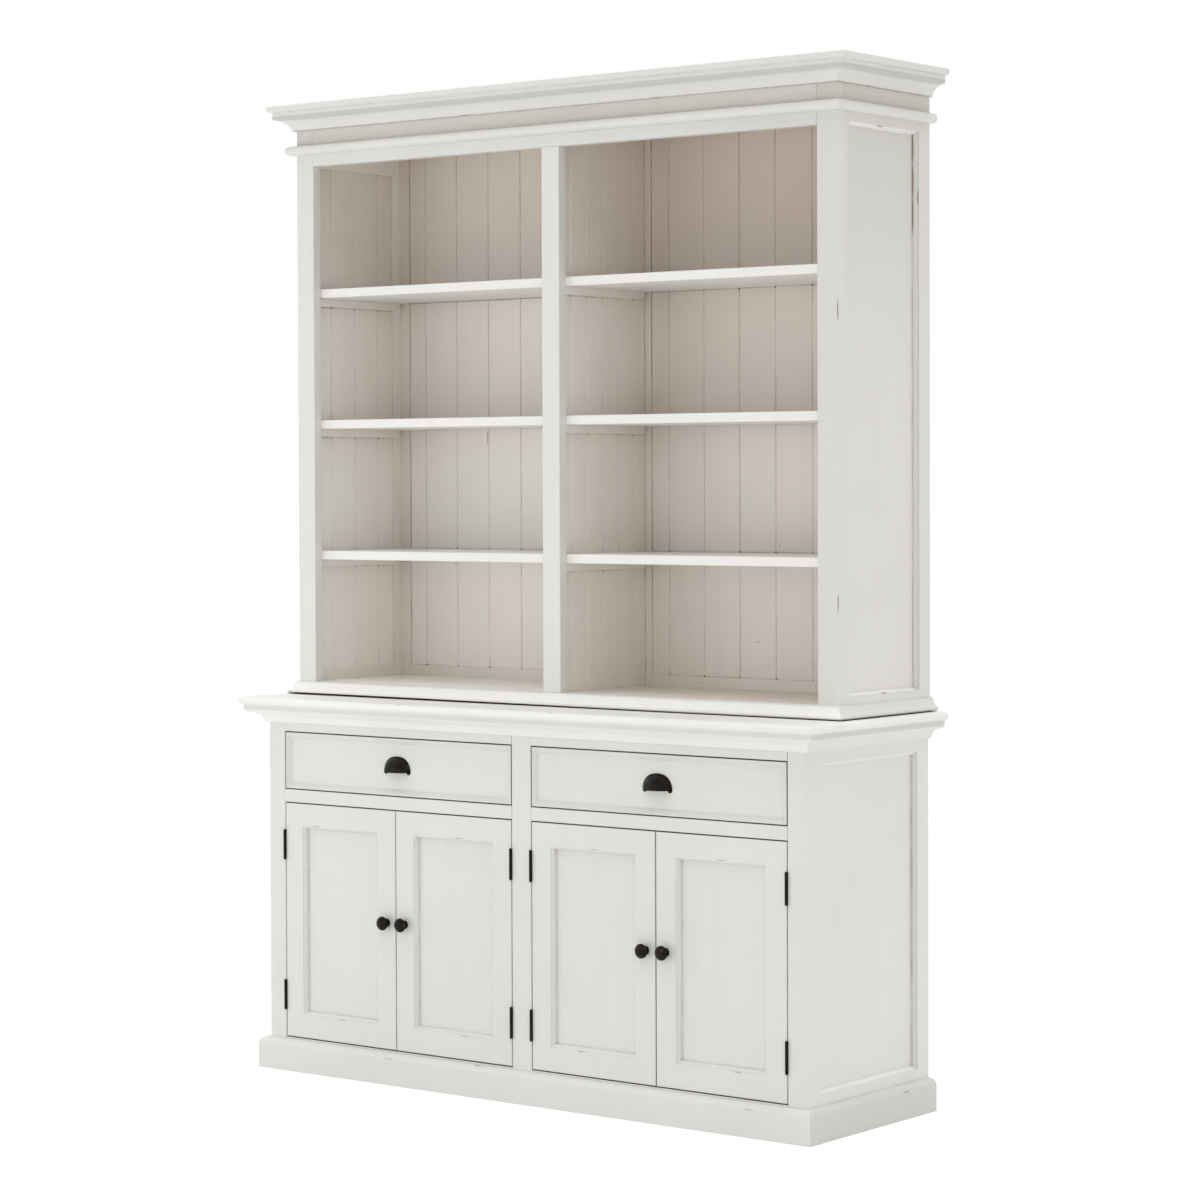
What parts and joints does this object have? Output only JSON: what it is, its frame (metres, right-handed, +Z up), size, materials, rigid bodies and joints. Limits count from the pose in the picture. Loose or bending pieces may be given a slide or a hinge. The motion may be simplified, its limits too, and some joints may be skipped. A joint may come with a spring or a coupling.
{
  "type": "hutch bookcase",
  "caption": "Painted timber hutch bookcase: panelled cupboard base with drawers under a moulded table top, and open boarded shelves above with a crown moulding.",
  "frame": {"origin": "middle of the footprint, on the floor", "axes": "+Z up, +Y towards the back, +X to the right of someone facing the doors"},
  "size_m": [1.6, 0.502, 2.2],
  "materials": {
    "white_paint": "satin off-white paint",
    "inside_paint": "matt beige-grey paint",
    "bare_wood": "bare pine",
    "dark_bronze": "dark bronze",
    "hinge_steel": "dark oxidised steel"
  },
  "bodies": {
    "carcass": {"astragal": "white_paint", "base_back_boards": "inside_paint", "base_back_frame": "inside_paint", "base_face_frame": "white_paint", "base_floor": "inside_paint", "base_left_side_frame": "white_paint", "base_partition": "inside_paint", "base_right_side_frame": "white_paint", "base_shelf_cleats": "inside_paint", "base_shelves": "inside_paint", "base_side_mouldings": "white_paint", "base_side_panels": "white_paint", "cap_board": "white_paint", "crown_moulding": "white_paint", "door_catches": "hinge_steel", "door_stops": "inside_paint", "drawer_runners": "bare_wood", "frieze": "white_paint", "hinge_fixed_leaves": "hinge_steel", "hinge_pins": "hinge_steel", "hutch_back_boards": "inside_paint", "hutch_back_frame": "inside_paint", "hutch_ceiling": "inside_paint", "hutch_face_frame": "white_paint", "hutch_floor": "inside_paint", "hutch_left_side_frame": "white_paint", "hutch_moulding": "white_paint", "hutch_partition": "inside_paint", "hutch_right_side_frame": "white_paint", "hutch_shelf_cleats": "inside_paint", "hutch_shelves": "inside_paint", "hutch_side_boards": "white_paint", "hutch_side_mouldings": "white_paint", "joining_screws": "hinge_steel", "plinth": "white_paint", "table_moulding": "white_paint", "table_top": "white_paint"},
    "door_1": {"door_1_frame": "white_paint", "door_1_hinge_leaves": "hinge_steel", "door_1_knob": "dark_bronze", "door_1_panel": "white_paint"},
    "door_2": {"door_2_frame": "white_paint", "door_2_hinge_leaves": "hinge_steel", "door_2_knob": "dark_bronze", "door_2_panel": "white_paint"},
    "door_3": {"door_3_frame": "white_paint", "door_3_hinge_leaves": "hinge_steel", "door_3_knob": "dark_bronze", "door_3_panel": "white_paint"},
    "door_4": {"door_4_frame": "white_paint", "door_4_hinge_leaves": "hinge_steel", "door_4_knob": "dark_bronze", "door_4_panel": "white_paint"},
    "drawer_1": {"drawer_1_box": "bare_wood", "drawer_1_front": "white_paint", "drawer_1_pull": "dark_bronze"},
    "drawer_2": {"drawer_2_box": "bare_wood", "drawer_2_front": "white_paint", "drawer_2_pull": "dark_bronze"}
  },
  "joints": [
    {"name": "door_1_hinge", "type": "hinge", "parent": "carcass", "child": "door_1", "pos_m": [-0.69575, -0.2043, 0.3415], "axis": [0, 0, -1], "range_deg": [0, 110]},
    {"name": "door_2_hinge", "type": "hinge", "parent": "carcass", "child": "door_2", "pos_m": [-0.02775, -0.2043, 0.3415], "axis": [0, 0, 1], "range_deg": [0, 90]},
    {"name": "door_3_hinge", "type": "hinge", "parent": "carcass", "child": "door_3", "pos_m": [0.02775, -0.2043, 0.3415], "axis": [0, 0, -1], "range_deg": [0, 90]},
    {"name": "door_4_hinge", "type": "hinge", "parent": "carcass", "child": "door_4", "pos_m": [0.69575, -0.2043, 0.3415], "axis": [0, 0, 1], "range_deg": [0, 110]},
    {"name": "drawer_1_slide", "type": "slide", "parent": "carcass", "child": "drawer_1", "axis": [0, -1, 0], "range_m": [0, 0.3]},
    {"name": "drawer_2_slide", "type": "slide", "parent": "carcass", "child": "drawer_2", "axis": [0, -1, 0], "range_m": [0, 0.3]}
  ]
}
